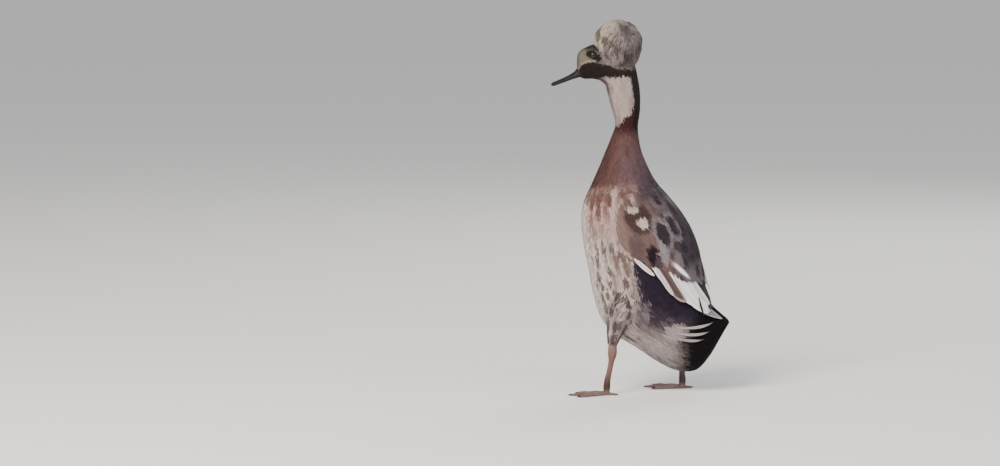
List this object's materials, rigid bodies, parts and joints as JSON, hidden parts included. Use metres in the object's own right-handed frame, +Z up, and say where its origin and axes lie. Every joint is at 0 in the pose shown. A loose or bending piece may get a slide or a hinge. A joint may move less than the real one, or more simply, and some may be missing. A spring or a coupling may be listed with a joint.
{
  "type": "crested indian runner duck",
  "caption": "Upright, slim duck standing with one foot forward: round crest, long neck, folded wings, short tail and webbed feet.",
  "frame": {"origin": "on the floor, under the middle of the bird's length and width", "axes": "+Z up; the bird faces -X, and its left side is at -Y"},
  "size_m": [0.2828, 0.1333, 0.5907],
  "materials": {
    "crest_feathers": "soft matt down-like feathers, cream and brown grey",
    "head_feathers": "short dense feathers, blackish brown with a grey brow",
    "neck_feathers": "short dense feathers, pale grey over chestnut with a black nape stripe",
    "body_feathers": "soft feathers, pale with brown streaks and spots",
    "wing_feathers": "firm vanes with a slight sheen, slate and mauve brown with pale edges",
    "tail_feathers": "firm vanes, blackish with pale outer edges",
    "bill_horn": "smooth leathery skin over horn, blackish brown",
    "eye": "wet, clear and dark brown",
    "leg_skin": "fine scales, dull orange brown with dark joints",
    "claw_horn": "smooth dark horn"
  },
  "bodies": {
    "root": {"head": "head_feathers", "crest": "crest_feathers", "bill_upper": "bill_horn", "bill_lower": "bill_horn", "eye_left": "eye", "eye_right": "eye", "neck": "neck_feathers", "torso": "body_feathers", "wing_left": "wing_feathers", "wing_right": "wing_feathers", "tail": "tail_feathers", "thigh_left": "body_feathers", "thigh_right": "body_feathers", "shank_left": "leg_skin", "shank_right": "leg_skin", "foot_left": "leg_skin", "foot_right": "leg_skin", "claw_left_1": "claw_horn", "claw_left_2": "claw_horn", "claw_left_3": "claw_horn", "claw_left_4": "claw_horn", "claw_right_1": "claw_horn", "claw_right_2": "claw_horn", "claw_right_3": "claw_horn", "claw_right_4": "claw_horn"}
  },
  "joints": []
}
